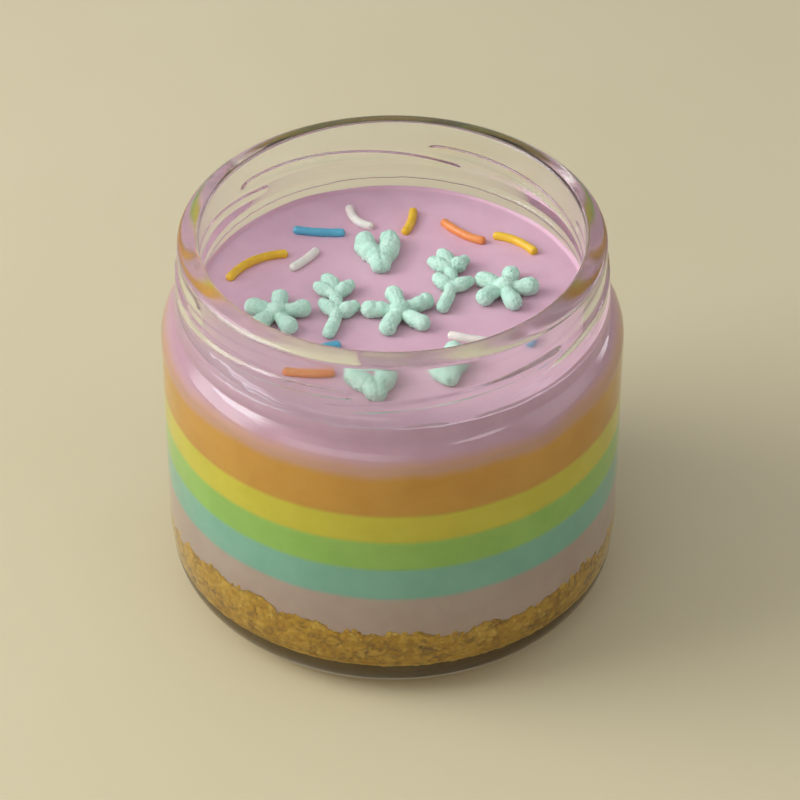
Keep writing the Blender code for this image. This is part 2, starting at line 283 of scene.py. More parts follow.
def turn(outline, segments):
    """Spin an outline of radius and height once round the upright axis."""
    shape = bmesh.new()
    corners = [shape.verts.new((radius, 0.0, height)) for radius, height in outline]
    sides = [shape.edges.new(pair) for pair in zip(corners, corners[1:])]
    bmesh.ops.spin(
        shape,
        geom=corners + sides,
        cent=(0.0, 0.0, 0.0),
        axis=(0.0, 0.0, 1.0),
        angle=math.tau,
        steps=segments,
        use_merge=True,
    )
    bmesh.ops.remove_doubles(shape, verts=shape.verts, dist=1e-5)
    return shape


def push_out(corner, distance):
    """Move a corner straight away from the upright axis."""
    radius = math.hypot(corner.co.x, corner.co.y)
    if radius > 1e-6:
        corner.co.x *= 1.0 + distance / radius
        corner.co.y *= 1.0 + distance / radius


def soft_step(value):
    """An even S-curve from 0 to 1."""
    part = min(1.0, max(0.0, value))
    return part * part * (3.0 - 2.0 * part)


# ------------------------------------------------------------------ finishes
def paint(red, green, blue):
    """A swatch's 0 to 255 values as a linear colour."""
    channels = []
    for value in (red, green, blue):
        part = value / 255.0
        channels.append(part / 12.92 if part <= 0.04045 else ((part + 0.055) / 1.055) ** 2.4)
    return (*channels, 1.0)


def add(tree, kind, inputs=None, **settings):
    """A node with its settings, and with values or links on its named inputs."""
    made = tree.nodes.new(kind)
    for key, value in settings.items():
        setattr(made, key, value)
    for key, value in (inputs or {}).items():
        if isinstance(value, bpy.types.NodeSocket):
            tree.links.new(value, made.inputs[key])
        else:
            made.inputs[key].default_value = value
    return made


def maths(tree, operation, first, second=0.0, clamp=False):
    """The output of one Math node."""
    return add(tree, "ShaderNodeMath", {0: first, 1: second},
               operation=operation, use_clamp=clamp).outputs[0]


def blend(tree, factor, first, second):
    """The colour output of one Mix node."""
    made = add(tree, "ShaderNodeMix", {"Factor": factor}, data_type="RGBA")
    for index, value in ((6, first), (7, second)):
        if isinstance(value, bpy.types.NodeSocket):
            tree.links.new(value, made.inputs[index])
        else:
            made.inputs[index].default_value = value
    return made.outputs[2]


def effect(name, inputs, outputs):
    """An empty shader node group with named inputs and outputs."""
    tree = bpy.data.node_groups.new(name, "ShaderNodeTree")
    for label, kind, value in inputs:
        socket = tree.interface.new_socket(name=label, in_out="INPUT", socket_type=kind)
        socket.default_value = value
    for label, kind in outputs:
        tree.interface.new_socket(name=label, in_out="OUTPUT", socket_type=kind)
    return tree, tree.nodes.new("NodeGroupInput").outputs, tree.nodes.new("NodeGroupOutput").inputs


def here(tree):
    """The place on the piece, in metres."""
    return add(tree, "ShaderNodeTexCoord").outputs["Object"]


def make_mottle():
    """Soft uneven colour: patches of a second colour over the first."""
    tree, given, out = effect(
        "mottle",
        [("Colour", "NodeSocketColor", (1, 1, 1, 1)),
         ("Second", "NodeSocketColor", (0, 0, 0, 1)),
         ("Scale", "NodeSocketFloat", 150.0),
         ("Amount", "NodeSocketFloat", 0.5)],
        [("Colour", "NodeSocketColor"), ("Mask", "NodeSocketFloat")],
    )
    patches = add(tree, "ShaderNodeTexNoise",
                  {"Vector": here(tree), "Scale": given["Scale"], "Detail": 4.0, "Roughness": 0.6})
    spread = add(tree, "ShaderNodeMapRange",
                 {"Value": patches.outputs["Fac"], "From Min": 0.35, "From Max": 0.68},
                 interpolation_type="SMOOTHSTEP").outputs["Result"]
    mask = maths(tree, "MULTIPLY", spread, given["Amount"])
    tree.links.new(blend(tree, mask, given["Colour"], given["Second"]), out["Colour"])
    tree.links.new(mask, out["Mask"])
    return tree


def make_seam():
    """How far a layer takes its neighbour's colour towards a wavy level: a half at it."""
    tree, given, out = effect(
        "seam",
        [("Level", "NodeSocketFloat", 0.0),
         ("Softness", "NodeSocketFloat", 0.0005),
         ("Wave", "NodeSocketFloat", 0.0)],
        [("Mask", "NodeSocketFloat")],
    )
    spot = here(tree)
    height = add(tree, "ShaderNodeSeparateXYZ", {"Vector": spot}).outputs["Z"]
    waves = add(tree, "ShaderNodeTexNoise", {"Vector": spot, "Scale": 90.0, "Detail": 2.0})
    sway = maths(tree, "SUBTRACT", waves.outputs["Fac"], 0.5)
    lift = maths(tree, "MULTIPLY", sway, given["Wave"])
    off = maths(tree, "ABSOLUTE", maths(tree, "SUBTRACT", maths(tree, "ADD", height, lift),
                                         given["Level"]))
    near = maths(tree, "SUBTRACT", 1.0, maths(tree, "DIVIDE", off, given["Softness"]), clamp=True)
    eased = add(tree, "ShaderNodeMapRange", {"Value": near, "To Max": 0.5},
                interpolation_type="SMOOTHSTEP").outputs["Result"]
    tree.links.new(eased, out["Mask"])
    return tree


def make_pores():
    """Fine relief: a grain, with small round pits scattered over it."""
    tree, given, out = effect(
        "pores",
        [("Grain scale", "NodeSocketFloat", 2500.0),
         ("Pit scale", "NodeSocketFloat", 900.0),
         ("Pit share", "NodeSocketFloat", 0.2)],
        [("Height", "NodeSocketFloat"), ("Pits", "NodeSocketFloat")],
    )
    spot = here(tree)
    grain = add(tree, "ShaderNodeTexNoise",
                {"Vector": spot, "Scale": given["Grain scale"], "Detail": 3.0})
    cells = add(tree, "ShaderNodeTexVoronoi", {"Vector": spot, "Scale": given["Pit scale"]})
    pits = maths(tree, "SUBTRACT", given["Pit share"], cells.outputs["Distance"], clamp=True)
    deep = maths(tree, "DIVIDE", pits, given["Pit share"], clamp=True)
    height = maths(tree, "SUBTRACT", maths(tree, "MULTIPLY", grain.outputs["Fac"], 0.5), deep)
    tree.links.new(height, out["Height"])
    tree.links.new(deep, out["Pits"])
    return tree


MOTTLE = make_mottle()
SEAM = make_seam()
PORES = make_pores()


def start_finish(name):
    """A new material: its tree and its Principled BSDF."""
    material = bpy.data.materials.new(name)
    material.use_nodes = True
    return material, material.node_tree, material.node_tree.nodes["Principled BSDF"]


def place_effect(tree, group, **values):
    """A shared effect in a material, with its own values; _ stands for a space."""
    inputs = {key.replace("_", " "): value for key, value in values.items()}
    return add(tree, "ShaderNodeGroup", inputs, node_tree=group).outputs


def vary(tree, mask, low, high):
    """A value that goes from low to high with a mask."""
    limits = {"Value": mask, "To Min": low, "To Max": high}
    return add(tree, "ShaderNodeMapRange", limits).outputs["Result"]


def relief(tree, shader, height, distance, strength=1.0):
    """Bump from a height, on a shader's normal."""
    bump = add(tree, "ShaderNodeBump",
               {"Height": height, "Distance": distance, "Strength": strength})
    tree.links.new(bump.outputs["Normal"], shader.inputs["Normal"])


def glass_finish():
    """Clear moulded glass, with faint handling marks and a softer lip."""
    material, tree, shader = start_finish("clear_glass")
    shader.inputs["Base Color"].default_value = (0.985, 0.992, 0.988, 1.0)
    shader.inputs["Metallic"].default_value = 0.0
    shader.inputs["Transmission Weight"].default_value = 1.0
    shader.inputs["IOR"].default_value = 1.5
    marks = place_effect(tree, MOTTLE, Scale=120.0, Amount=1.0)
    height = add(tree, "ShaderNodeSeparateXYZ", {"Vector": here(tree)}).outputs["Z"]
    lip = {"Value": height, "From Min": (JAR_HEIGHT - LIP_DEPTH) * MM, "From Max": JAR_HEIGHT * MM}
    softer = add(tree, "ShaderNodeMapRange", {**lip, "To Max": LIP_ROUGHNESS},
                 interpolation_type="SMOOTHSTEP").outputs["Result"]
    rough = maths(tree, "ADD", vary(tree, marks["Mask"], 0.0, HANDLING_ROUGHNESS), softer)
    tree.links.new(rough, shader.inputs["Roughness"])
    waves = add(tree, "ShaderNodeTexNoise", {"Vector": here(tree), "Scale": 140.0, "Detail": 1.0})
    relief(tree, shader, waves.outputs["Fac"], 0.00004, 0.5)
    return material


CREAM_COLOURS = {
    "mauve": (paint(211, 187, 174), paint(202, 174, 161)),
    "blue": (paint(150, 211, 188), paint(137, 202, 179)),
    "green": (paint(176, 222, 108), paint(163, 213, 96)),
    "yellow": (paint(238, 224, 66), paint(230, 216, 54)),
    "orange": (paint(234, 175, 66), paint(226, 163, 52)),
    "pink": (paint(226, 182, 198), paint(218, 172, 190)),
}


def cream_finish(colour, low, high, below, above):
    """Set cream, its colour running a little into its neighbours' at its two levels."""
    material, tree, shader = start_finish(colour + "_cream")
    first, second = CREAM_COLOURS[colour]
    mixed = place_effect(tree, MOTTLE, Colour=first, Second=second, Scale=130.0, Amount=0.7)
    shade = mixed["Colour"]
    for level, neighbour in ((low, below), (high, above)):
        if neighbour:
            broad = {colour, neighbour} == {"orange", "pink"}
            softness = (BROAD_SEAM_SOFTNESS if broad else SEAM_SOFTNESS) * MM
            mask = place_effect(tree, SEAM, Level=level * MM, Softness=softness, Wave=softness)["Mask"]
            shade = blend(tree, mask, shade, CREAM_COLOURS[neighbour][0])
    tree.links.new(shade, shader.inputs["Base Color"])
    pores = place_effect(tree, PORES, Grain_scale=1800.0, Pit_scale=700.0, Pit_share=0.12)
    tree.links.new(vary(tree, mixed["Mask"], 0.42, 0.56), shader.inputs["Roughness"])
    relief(tree, shader, pores["Height"], 0.00003, 0.6)
    shader.inputs["Subsurface Weight"].default_value = 0.25
    shader.inputs["Subsurface Radius"].default_value = (1.0, 0.45, 0.5)
    shader.inputs["Subsurface Scale"].default_value = 0.0016
    shader.inputs["Specular IOR Level"].default_value = 0.4
    return material


def crumb_finish():
    """Coarse biscuit crumb: each chunk its own toasted shade, with painted shade in the cracks between
    chunks and in hollows, and painted light at its foot.
    """
    material, tree, shader = start_finish("biscuit_crumb")
    # The tone attribute: each chunk's own random tone, with painted light at the foot and on raised
    # relief.
    own = add(tree, "ShaderNodeAttribute", attribute_name="tone_and_painted_light").outputs["Fac"]
    gap_shade = add(tree, "ShaderNodeAttribute", attribute_name="gap_shade").outputs["Fac"]
    bits = add(tree, "ShaderNodeTexNoise", {"Vector": here(tree), "Scale": 1500.0, "Detail": 3.0})
    grain = maths(tree, "MULTIPLY", maths(tree, "SUBTRACT", bits.outputs["Fac"], 0.5), 0.9)
    tones = add(tree, "ShaderNodeValToRGB", {"Fac": maths(tree, "ADD", own, grain, clamp=True)})
    ramp = tones.color_ramp
    ramp.elements[0].color = paint(142, 98, 8)
    ramp.elements[1].color = paint(244, 206, 88)
    middle = ramp.elements.new(0.5)
    middle.color = paint(210, 158, 24)
    # Painted shade: dark brown where the gap attribute marks the cracks between chunks and the hollows.
    shade = blend(tree, gap_shade, tones.outputs["Color"], paint(100, 64, 4))
    mixed = place_effect(tree, MOTTLE, Colour=shade, Second=paint(214, 166, 36), Scale=260.0, Amount=0.3)
    tree.links.new(mixed["Colour"], shader.inputs["Base Color"])
    tree.links.new(vary(tree, mixed["Mask"], 0.75, 0.95), shader.inputs["Roughness"])
    pores = place_effect(tree, PORES, Grain_scale=2200.0, Pit_scale=1500.0, Pit_share=0.3)
    relief(tree, shader, pores["Height"], 0.00012, 0.8)
    return material


def icing_finish():
    """Matt mint icing, with painted shade: a deeper mint in its pits and hollows."""
    material, tree, shader = start_finish("mint_icing")
    mixed = place_effect(tree, MOTTLE, Colour=paint(202, 233, 214), Second=paint(181, 219, 200),
                         Scale=330.0, Amount=0.8)
    pores = place_effect(tree, PORES, Grain_scale=3800.0, Pit_scale=1300.0, Pit_share=0.22)
    # Painted shade: the pits and hollows of the ropes take the deeper mint.
    hollow_shade = add(tree, "ShaderNodeAttribute", attribute_name="hollow_shade").outputs["Fac"]
    deep = maths(tree, "MAXIMUM", hollow_shade, maths(tree, "MULTIPLY", pores["Pits"], 0.5))
    tree.links.new(blend(tree, deep, mixed["Colour"], paint(134, 184, 158)), shader.inputs["Base Color"])
    tree.links.new(vary(tree, mixed["Mask"], 0.7, 0.88), shader.inputs["Roughness"])
    relief(tree, shader, pores["Height"], 0.00006, 0.7)
    shader.inputs["Subsurface Weight"].default_value = 0.25
    shader.inputs["Subsurface Radius"].default_value = (0.6, 1.0, 0.75)
    shader.inputs["Subsurface Scale"].default_value = 0.0008
    shader.inputs["Specular IOR Level"].default_value = 0.3
    return material


STRAND_COLOURS = {
    "yellow": (paint(240, 196, 50), paint(226, 172, 30)),
    "blue": (paint(96, 178, 204), paint(78, 160, 192)),
    "white": (paint(238, 232, 222), paint(228, 218, 208)),
    "orange": (paint(236, 150, 84), paint(226, 132, 66)),
}


def strand_finish(colour):
    """Smooth pressed sugar, with a faint sheen."""
    material, tree, shader = start_finish(colour + "_strand")
    first, second = STRAND_COLOURS[colour]
    mixed = place_effect(tree, MOTTLE, Colour=first, Second=second, Scale=420.0, Amount=0.7)
    tree.links.new(mixed["Colour"], shader.inputs["Base Color"])
    tree.links.new(vary(tree, mixed["Mask"], 0.3, 0.5), shader.inputs["Roughness"])
    pores = place_effect(tree, PORES, Grain_scale=3000.0, Pit_scale=2000.0, Pit_share=0.15)
    relief(tree, shader, pores["Height"], 0.00002, 0.6)
    shader.inputs["Subsurface Weight"].default_value = 0.2
    shader.inputs["Subsurface Scale"].default_value = 0.0008
    return material


# ---------------------------------------------------------------- the jar
def jar_outside():
    """The jar's outer outline, from the middle of the underside up over the lip."""
    turn_centre = (WIDEST_RADIUS - TURN_CURVE, WIDEST_HEIGHT)
    between = TURN_CURVE - SHOULDER_CURVE
    shoulder_centre = arc(turn_centre, between, TURN_ANGLE, TURN_ANGLE, 1)[0]
    crest = BORE_RADIUS + LIP_CORNER
    underside = [
        (0.0, PUSH_UP_HEIGHT),
        (0.5 * PUSH_UP_RADIUS, PUSH_UP_HEIGHT),
        (PUSH_UP_RADIUS, PUSH_UP_HEIGHT),
        (PUSH_UP_RADIUS + 0.8, 0.8 * PUSH_UP_HEIGHT),
        (CONTACT_INNER_RADIUS - 0.8, 0.15 * PUSH_UP_HEIGHT),
        (CONTACT_INNER_RADIUS, 0.0),
    ]
    heel = arc((CONTACT_OUTER_RADIUS, HEEL_RADIUS), HEEL_RADIUS, -90.0, 0.0, 22)
    side_foot = (BODY_RADIUS, 1.5 * HEEL_RADIUS)
    turning = arc(turn_centre, TURN_CURVE, 0.0, TURN_ANGLE, 7)
    shoulder = arc(shoulder_centre, SHOULDER_CURVE, TURN_ANGLE, SHOULDER_ANGLE, 14)[1:]
    fillet_centre = arc(shoulder[-1], SHOULDER_FILLET, SHOULDER_ANGLE, SHOULDER_ANGLE, 1)[0]
    fillet = arc(fillet_centre, SHOULDER_FILLET, 180.0 + SHOULDER_ANGLE, 180.0, 6)[1:]
    notch = [
        (fillet[-1][0], NOTCH_HEIGHT - 0.7),
        (fillet[-1][0] - 0.02, NOTCH_HEIGHT - 0.22),
        (NOTCH_RADIUS + 0.04, NOTCH_HEIGHT - 0.08),
        (NOTCH_RADIUS, NOTCH_HEIGHT),
        (NOTCH_RADIUS + 0.04, NOTCH_HEIGHT + 0.08),
        (NECK_FOOT_RADIUS - 0.02, NOTCH_HEIGHT + 0.22),
        (NECK_FOOT_RADIUS, NOTCH_HEIGHT + 0.5),
        (NECK_FOOT_RADIUS, NECK_FOOT_HEIGHT),
    ]
    neck = []
    top = JAR_HEIGHT - LIP_HEIGHT
    steps = round((top - NECK_FOOT_HEIGHT) / NECK_STEP)
    for step in range(1, steps):
        height = NECK_FOOT_HEIGHT + (top - NECK_FOOT_HEIGHT) * step / steps
        taper = min(1.0, (height - NECK_FOOT_HEIGHT) / NECK_FOOT_TAPER)
        neck.append((NECK_FOOT_RADIUS + taper * (NECK_RADIUS - NECK_FOOT_RADIUS), height))
    lip = []
    for reach, rise in arc((0.0, 0.0), 1.0, 0.0, 90.0, 20):
        lip.append((crest + (NECK_RADIUS - crest) * reach, top + LIP_HEIGHT * rise))
    lip += arc((crest, JAR_HEIGHT - LIP_CORNER), LIP_CORNER, 90.0, 180.0, 8)[1:]
    side = run(heel[-1], side_foot, 2.0) + [side_foot] + run(side_foot, turning[0], 2.5)
    return underside + heel + side + turning + shoulder + fillet + notch + neck + lip


def jar_inside(clearance=0.0):
    """The jar's inner outline, from the bore down to the floor, or one that clears it."""
    wall = BODY_RADIUS - WALL
    shoulder_centre = (wall - INNER_SHOULDER_CURVE, INNER_SHOULDER_HEIGHT)
    heel_centre = (wall - INNER_HEEL_RADIUS, FLOOR_HEIGHT + INNER_HEEL_RADIUS)
    between = INNER_SHOULDER_CURVE + BORE_FLARE
    flare_reach = BORE_RADIUS + BORE_FLARE
    lean = math.acos((flare_reach - shoulder_centre[0]) / between)
    flare_centre = (flare_reach, INNER_SHOULDER_HEIGHT + between * math.sin(lean))
    meeting = math.degrees(lean)
    flare = arc(flare_centre, BORE_FLARE + clearance, 180.0, 180.0 + meeting, 12)
    shoulder = arc(shoulder_centre, INNER_SHOULDER_CURVE - clearance, meeting, 0.0, 14)[1:]
    heel = arc(heel_centre, INNER_HEEL_RADIUS - clearance, 0.0, -90.0, 18)
    return flare + shoulder + run(shoulder[-1], heel[0], 2.0) + heel


def ramp_reach(angle, height):
    """How far from the axis the ramps reach at a place, in degrees round and mm up."""
    swell = 0.0
    for index in range(RAMP_COUNT):
        first_end = RAMP_FIRST_END + index * 360.0 / RAMP_COUNT
        along = (first_end - angle + 180.0) % 360.0 - 180.0
        part = min(1.0, max(0.0, along / RAMP_SPAN))
        beyond = math.radians(along - part * RAMP_SPAN) * NECK_RADIUS / RAMP_TAPER
        centre = RAMP_HIGH - (RAMP_HIGH - RAMP_LOW) * part**RAMP_BEND
        inward = RAMP_HALF_WIDTH - math.hypot(beyond, height - centre)
        swell = max(swell, soft_step(inward / RAMP_EDGE))
    return NECK_RADIUS + RAMP_LIFT * swell


def make_jar():
    """The open jar, its ramps standing softly out from the neck and its wall a little wavy."""
    outside = jar_outside()
    inside = jar_inside()
    bore = run(outside[-1], inside[0], 1.2)
    floor = run(inside[-1], (0.0, FLOOR_HEIGHT), 3.0) + [(0.0, FLOOR_HEIGHT)]
    shape = turn(outside + bore + inside + floor, JAR_SEGMENTS)
    for corner in shape.verts:
        x, y, z = corner.co
        radius = math.hypot(x, y)
        angle = math.degrees(math.atan2(y, x))
        outer = radius > BODY_RADIUS - 0.6 * WALL or z < 0.5 * FLOOR_HEIGHT
        if z > NECK_FOOT_HEIGHT and radius > NECK_RADIUS - 0.01:
            push_out(corner, max(0.0, ramp_reach(angle, z) - radius))
        elif abs(z - NOTCH_HEIGHT) < 0.3 and radius > NOTCH_RADIUS - 0.1:
            corner.co.z += NOTCH_WAVE * noise.noise(Vector((x, y, 0.0)) / 2.2)
        elif PUSH_UP_HEIGHT < z < NECK_FOOT_HEIGHT + STILL_RISE:
            wave = noise.noise(Vector((x, y, z)) / WAVE_LENGTH)
            still = soft_step((NECK_FOOT_HEIGHT + STILL_RISE - z) / STILL_RISE)
            push_out(corner, wave * still * (OUTER_WAVE if outer else INNER_WAVE))
    return place("jar", shape, glass_finish(), "clear_glass", "jar_glass")


# ------------------------------------------------------------ the filling
def side_between(low, high, spacing=0.5):
    """The filling's side from one height to another, reaching just into the glass."""
    wall = list(reversed(jar_inside(-BITE)))
    points = []
    for (radius_a, height_a), (radius_b, height_b) in zip(wall, wall[1:]):
        for level in (low, high):
            if height_a < level <= height_b:
                part = (level - height_a) / (height_b - height_a)
                points.append((radius_a + part * (radius_b - radius_a), level))
        if low < height_b < high:
            points.append((radius_b, height_b))
    points.sort(key=lambda point: point[1])
    fine = [points[0]]
    for start, end in zip(points, points[1:]):
        fine += run(start, end, spacing) + [end]
    return fine


def chunk_at(spot):
    """Of the biscuit chunk at a spot: its own value from 0 to 1, and how near its edge is."""
    distances, centres = noise.voronoi(spot / CHUNK_SIZE)
    own = min(1.0, max(0.0, 0.5 + noise.noise(7.7 * centres[0])))
    return own, 1.0 - min(1.0, (distances[1] - distances[0]) / 0.4)


def crumb_top(x, y):
    """Height of the crumb's craggy top, heaped against the glass at one side."""
    off_centre = math.degrees(math.atan2(y, x)) - HEAP_ANGLE
    off_centre = (off_centre + 180.0) % 360.0 - 180.0
    outward = (math.hypot(x, y) / BODY_RADIUS) ** 3
    heap = HEAP_HEIGHT * outward * math.exp(-((off_centre / HEAP_WIDTH) ** 2))
    spot = Vector((x / CRUMB_GRAIN, y / CRUMB_GRAIN, 0.37))
    own, edge = chunk_at(Vector((x, y, 5.1)))
    step = CHUNK_STEP * (own - 0.5 - 0.3 * edge)
    fine = 0.3 * noise.noise(Vector((x / 0.6, y / 0.6, 5.1)))
    return CRUMB_HEIGHT + heap + CRUMB_ROUGHNESS * noise.noise(spot) + step + fine


def reach_at(side, height):
    """How far from the axis the filling's side is at a height."""
    for (radius_a, height_a), (radius_b, height_b) in zip(side, side[1:]):
        if height < height_b:
            part = max(0.0, height - height_a) / (height_b - height_a)
            return radius_a + part * (radius_b - radius_a)
    return side[-1][0]


def add_grain(shape, centre, size, draw, tone_and_painted_light, gap_shade):
    """One sharp broken grain."""
    tilt = Vector((draw.uniform(-1, 1), 1.0, draw.uniform(-1, 1)))
    turned = Matrix.Rotation(draw.uniform(0, math.tau), 4, tilt)
    length, width, depth = draw.uniform(0.8, 1.3), draw.uniform(0.7, 1.0), draw.uniform(0.6, 1.0)
    stretch = Matrix.Diagonal((length, width, depth, 1.0))
    made = bmesh.ops.create_icosphere(
        shape, subdivisions=2, radius=size, matrix=Matrix.Translation(centre) @ turned @ stretch
    )
    seed = Vector((draw.uniform(0, 99), draw.uniform(0, 99), 0.0))
    shade = draw.uniform(0.3, 1.0)
    for corner in made["verts"]:
        off = corner.co - Vector(centre)
        corner.co += off * GRAIN_JAG * noise.noise(off / (0.7 * size) + seed)
        corner[tone_and_painted_light] = shade
        corner[gap_shade] = 0.0


def make_crumb():
    """The pressed biscuit crumb: chunks against the glass, and loose grains on its top edge."""
    draw = random.Random(CRUMB_SEED)
    noise.seed_set(CRUMB_SEED)
    floor = FLOOR_HEIGHT - BITE
    side = side_between(floor, CRUMB_HEIGHT, 0.3)
    edge = side[-1][0]
    line = list(reversed(jar_inside(-BITE)))
    inner = [(edge - 0.6 * step, CRUMB_HEIGHT) for step in range(1, 8)]
    inner += [(radius, CRUMB_HEIGHT) for radius in (28.0, 20.0, 10.0, 0.0)]
    shape = turn([(0.0, floor)] + side + inner, CRUMB_SEGMENTS)
    tone_and_painted_light = shape.verts.layers.float.new("tone_and_painted_light")
    gap_shade = shape.verts.layers.float.new("gap_shade")
    for corner in shape.verts:
        x, y, z = corner.co
        radius = math.hypot(x, y)
        if z > CRUMB_HEIGHT - 0.01:
            height = crumb_top(x, y)
        else:
            height = floor + (z - floor) / (CRUMB_HEIGHT - floor) * (crumb_top(x, y) - floor)
        corner.co.z = height
        if z <= CRUMB_HEIGHT - 0.01 and z > floor + 0.001 or abs(radius - edge) < 0.01:
            push_out(corner, reach_at(line, height) - radius)
            spot = corner.co + CRUMBLE * noise.noise_vector(corner.co / CRUMBLE_SPACING)
            own, rim = chunk_at(spot)
            bulge = CHUNK_RELIEF * (0.3 + 0.7 * own) * (1.0 - rim**1.5)
            fine = FINE_RELIEF * noise.noise(corner.co / FINE_SPACING)
            fine += ROUGH_RELIEF * noise.noise(corner.co / ROUGH_SPACING)
            cluster = 0.15 + 0.85 * soft_step(0.45 + 1.8 * noise.noise(corner.co / CRACK_SPACING))
            # Painted light: towards the foot the tone is raised to full and the painted shade is taken
            # away.
            foot = 1.0 - soft_step((height - floor) / PAINTED_HEEL_LIGHT)
            # The chunk's own random tone, made lighter on raised relief and darker in its hollows as
            # painted light and shade.
            shade = 0.3 + 0.45 * own + 1.3 * fine
            corner[tone_and_painted_light] = shade + (1.0 - shade) * foot
            # Painted shade: darker along chunk rims and where the relief sinks away from the glass.
            dark = cluster * (0.9 * rim**3.0 + 2.2 * max(0.0, -fine))
            corner[gap_shade] = (1.0 - foot) * min(1.0, dark)
            push_out(corner, max(0.02, SIDE_SWELL + bulge + fine))
    for _ in range(LOOSE_GRAINS):
        angle = draw.uniform(0.0, math.tau)
        size = draw.uniform(GRAIN_SMALLEST, GRAIN_LARGEST)
        reach = BODY_RADIUS - WALL + draw.uniform(0.15, 0.45) - 0.8 * size
        x, y = reach * math.cos(angle), reach * math.sin(angle)
        height = crumb_top(x, y) + draw.uniform(-1.2, 0.35)
        add_grain(shape, (x, y, height), size, draw, tone_and_painted_light, gap_shade)
    return place("crumb", shape, crumb_finish(), "biscuit_crumb", "crumb_base", crease=40.0)


def make_layers():
    """The set creams under the top one; the lowest lies over the crumb's crags."""
    levels = [CRUMB_HEIGHT - CRAG_COVER]
    for colour, above in zip(LAYERS, LAYERS[1:]):
        levels.append(0.5 * (top_of("layer_" + colour) + foot_of("layer_" + above)))
    for index, colour in enumerate(LAYERS[:-1]):
        low, high = levels[index], levels[index + 1]
        below = LAYERS[index - 1] if index else None
        outline = [(0.0, low), (LAYER_CORE, low)] + side_between(low, high, 1.0)
        outline += [(LAYER_CORE, high), (0.0, high)]
        shape = turn(outline, FILLING_SEGMENTS)
        finish = cream_finish(colour, low, high, below, LAYERS[index + 1])
        place("cream_" + colour, shape, finish, colour + "_cream", "layer_" + colour, crease=40.0)
    return levels[-1]


def make_top(low):
    """The top cream: its surface gently uneven, drawn up the glass at its rim."""
    side = side_between(low, TOP_HEIGHT + MENISCUS_HEIGHT, 0.6)
    rim = side[-1][0]
    curl = []
    for step in range(1, MENISCUS_STEPS + 1):
        part = step / MENISCUS_STEPS
        curl.append((rim - MENISCUS_WIDTH * part, TOP_HEIGHT + MENISCUS_HEIGHT * (1.0 - part) ** 2.2))
    flat = curl[-1][0]
    rings = []
    for step in range(1, SURFACE_RINGS + 1):
        rings.append((flat * (1.0 - step / SURFACE_RINGS), TOP_HEIGHT))
    shape = turn([(0.0, low), (LAYER_CORE, low)] + side + curl + rings, FILLING_SEGMENTS)
    for corner in shape.verts:
        x, y, z = corner.co
        if z > TOP_HEIGHT - 0.01 and math.hypot(x, y) < rim - 0.01:
            swell = SURFACE_SWELL * noise.noise(Vector((x / 9.0, y / 9.0, 3.3)))
            ripple = SURFACE_RIPPLE * noise.noise(Vector((x / 1.7, y / 1.7, 8.8)))
            corner.co.z += swell + ripple
        elif z > TOP_HEIGHT:
            angle = math.atan2(y, x)
            draw_up = noise.noise(Vector((3.0 * math.cos(angle), 3.0 * math.sin(angle), 1.0)))
            corner.co.z += MENISCUS_WAVE * draw_up * (z - TOP_HEIGHT) / MENISCUS_HEIGHT
    finish = cream_finish("pink", low, TOP_HEIGHT + 20.0, "orange", None)
    place("cream_pink", shape, finish, "pink_cream", "layer_pink", crease=60.0)


# ------------------------------------------------------ strands and icing
def bend(start, middle, end, part):
    """A place on the smooth curve through three points."""
    weights = ((1 - part) * (1 - 2 * part), 4 * part * (1 - part), part * (2 * part - 1))
    x = sum(weight * knot[0] for weight, knot in zip(weights, (start, middle, end)))
    y = sum(weight * knot[1] for weight, knot in zip(weights, (start, middle, end)))
    return x, y


def add_strand(shape, knots):
    """One smooth strand with blunt round ends, lying in the cream."""
    steps, cap_steps, sides = 24, 6, 20
    height = TOP_HEIGHT + STRAND_RADIUS - STRAND_SINK
    length = math.dist(knots[0], knots[1]) + math.dist(knots[1], knots[2])
    inset = STRAND_INSET * STRAND_RADIUS / length
    line = []
    for step in range(steps + 1):
        part = inset + (1.0 - 2.0 * inset) * step / steps
        line.append(Vector((*bend(*knots, part), height)))
    first, last = (line[1] - line[0]).normalized(), (line[-1] - line[-2]).normalized()
    stations = []
    cap = STRAND_CAP * STRAND_RADIUS
    for step in range(cap_steps):
        lean = 0.5 * math.pi * (1.0 - step / cap_steps)
        stations.append((line[0] - cap * math.sin(lean) * first, first, math.cos(lean)))
    for index, centre in enumerate(line):
        forward = (line[min(index + 1, steps)] - line[max(index - 1, 0)]).normalized()
        stations.append((centre, forward, 1.0))
    for step in range(1, cap_steps + 1):
        lean = 0.5 * math.pi * step / cap_steps
        stations.append((line[-1] + cap * math.sin(lean) * last, last, math.cos(lean)))
    rings = []
    for centre, forward, share in stations:
        across = forward.cross(Vector((0, 0, 1)))
        girth = STRAND_RADIUS * share * (1.0 + STRAND_UNEVEN * noise.noise(centre / 1.5))
        ring = []
        for side in range(sides):
            angle = math.tau * side / sides
            off = math.cos(angle) * across + math.sin(angle) * Vector((0, 0, 1))
            ring.append(shape.verts.new(centre + girth * off))
        rings.append(ring)
    for ring_a, ring_b in zip(rings, rings[1:]):
        for side in range(sides):
            after = (side + 1) % sides
            shape.faces.new((ring_a[side], ring_a[after], ring_b[after], ring_b[side]))


def make_strands():
    """The sugar strands, one piece for each colour."""
    for colour, lines in STRANDS.items():
        shape = bmesh.new()
        for knots in lines:
            add_strand(shape, knots)
        bmesh.ops.remove_doubles(shape, verts=shape.verts, dist=1e-4)
        place("strands_" + colour, shape, strand_finish(colour), "pink_cream", "layer_pink")


def ahead(start, heading, distance):
    """The point at a distance from start in the direction heading, in degrees."""
    angle = math.radians(heading)
    return (start[0] + distance * math.cos(angle), start[1] + distance * math.sin(angle))


